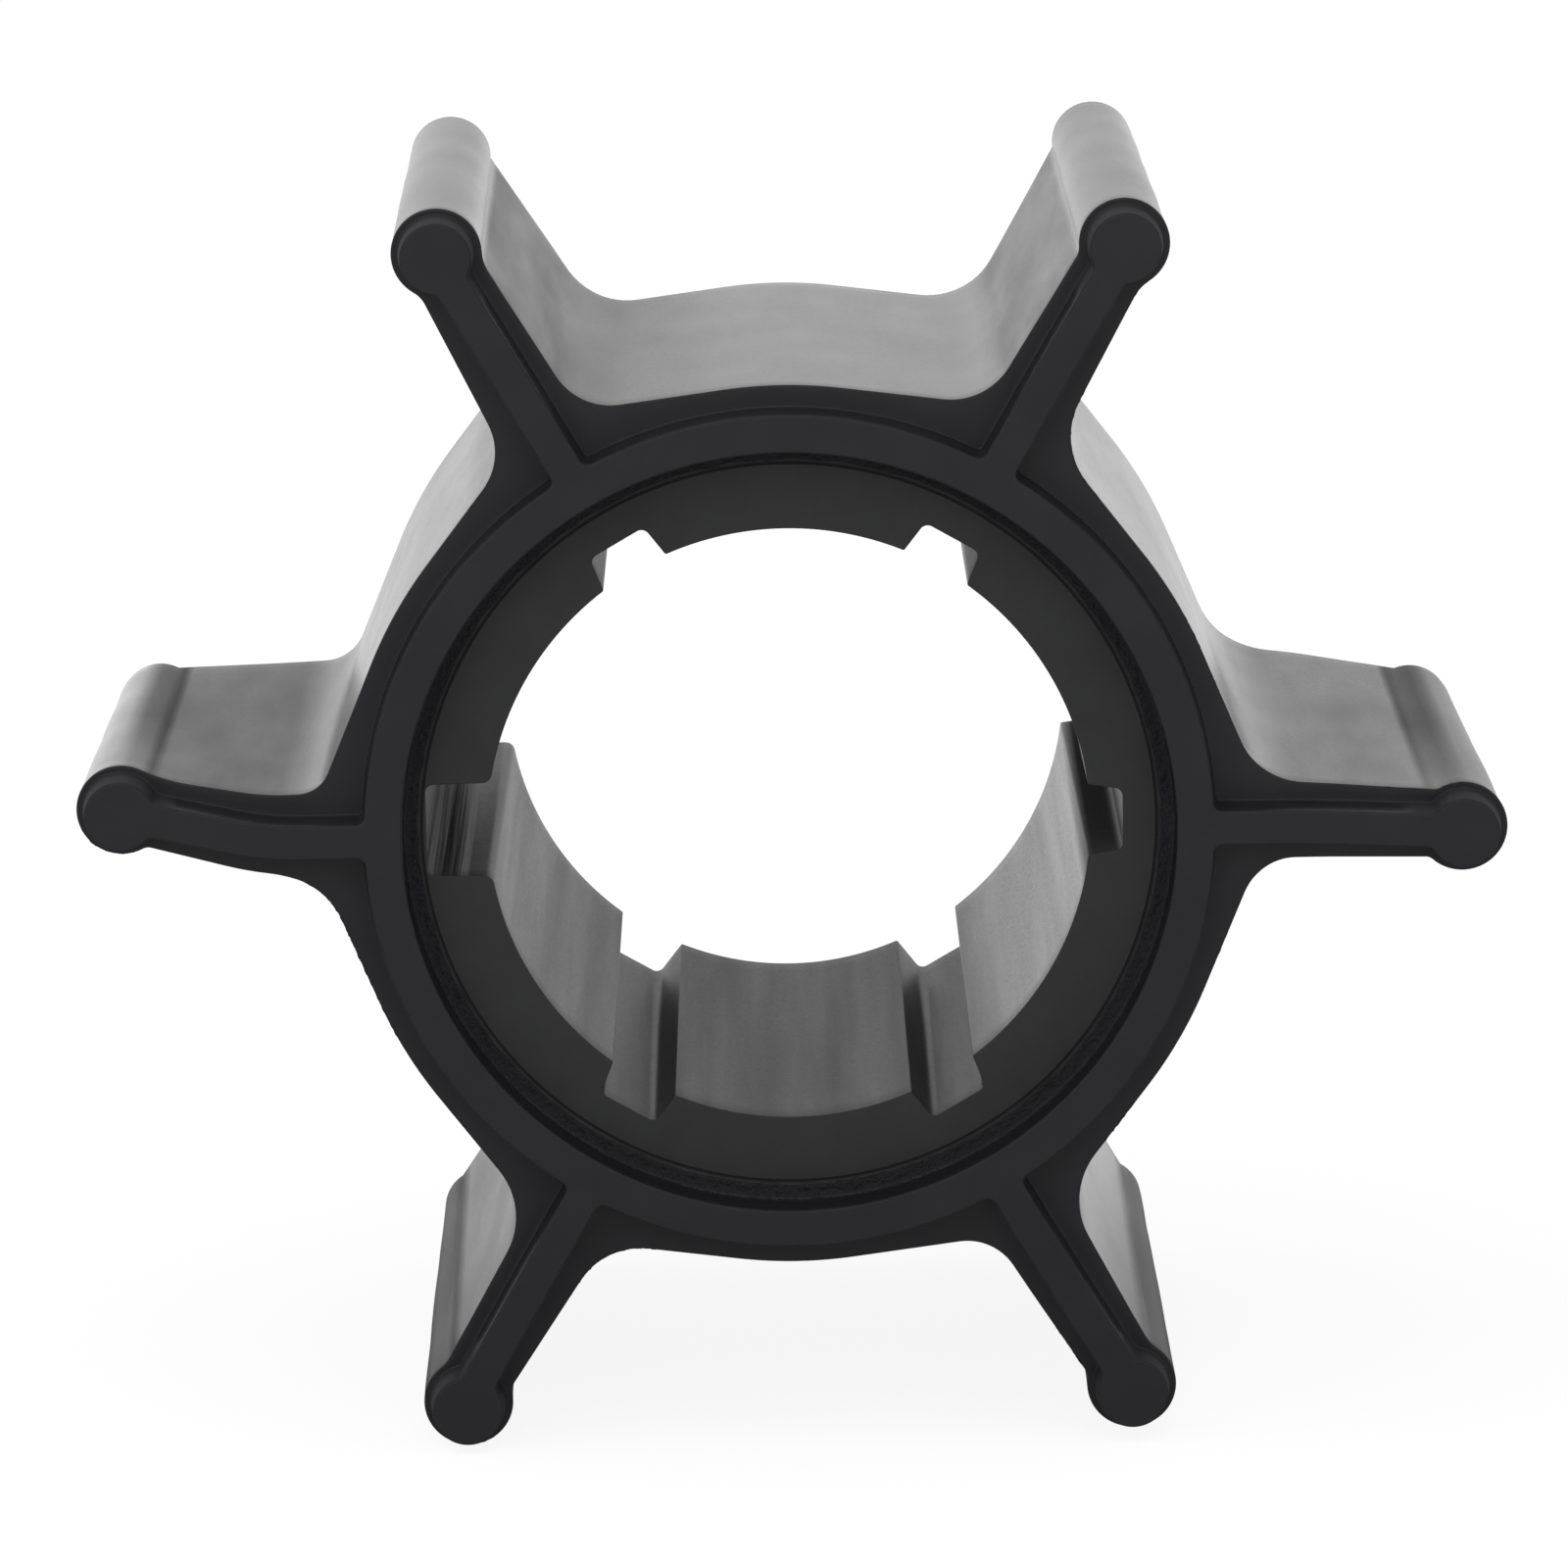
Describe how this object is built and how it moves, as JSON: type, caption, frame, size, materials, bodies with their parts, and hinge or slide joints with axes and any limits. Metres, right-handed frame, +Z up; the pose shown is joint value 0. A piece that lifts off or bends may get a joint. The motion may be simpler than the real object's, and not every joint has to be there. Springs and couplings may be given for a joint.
{
  "type": "rubber pump impeller",
  "caption": "Flexible rubber pump impeller with straight radial vanes ending in round beads, moulded round a hard insert with a slotted bore and keyway.",
  "frame": {"origin": "on the bore's axis, midway along it", "axes": "+Y along the bore, away from the front end; +Z up, with the part standing on two vanes; +X to the right seen from the front"},
  "size_m": [0.05, 0.026, 0.0439],
  "materials": {
    "moulded_rubber": "satin black moulded rubber, faint bloom and flow streaks",
    "insert_plastic": "hard black moulded plastic, matt faces and satin bore"
  },
  "bodies": {
    "root": {"rubber_impeller": "moulded_rubber", "hub_insert": "insert_plastic"}
  },
  "joints": []
}
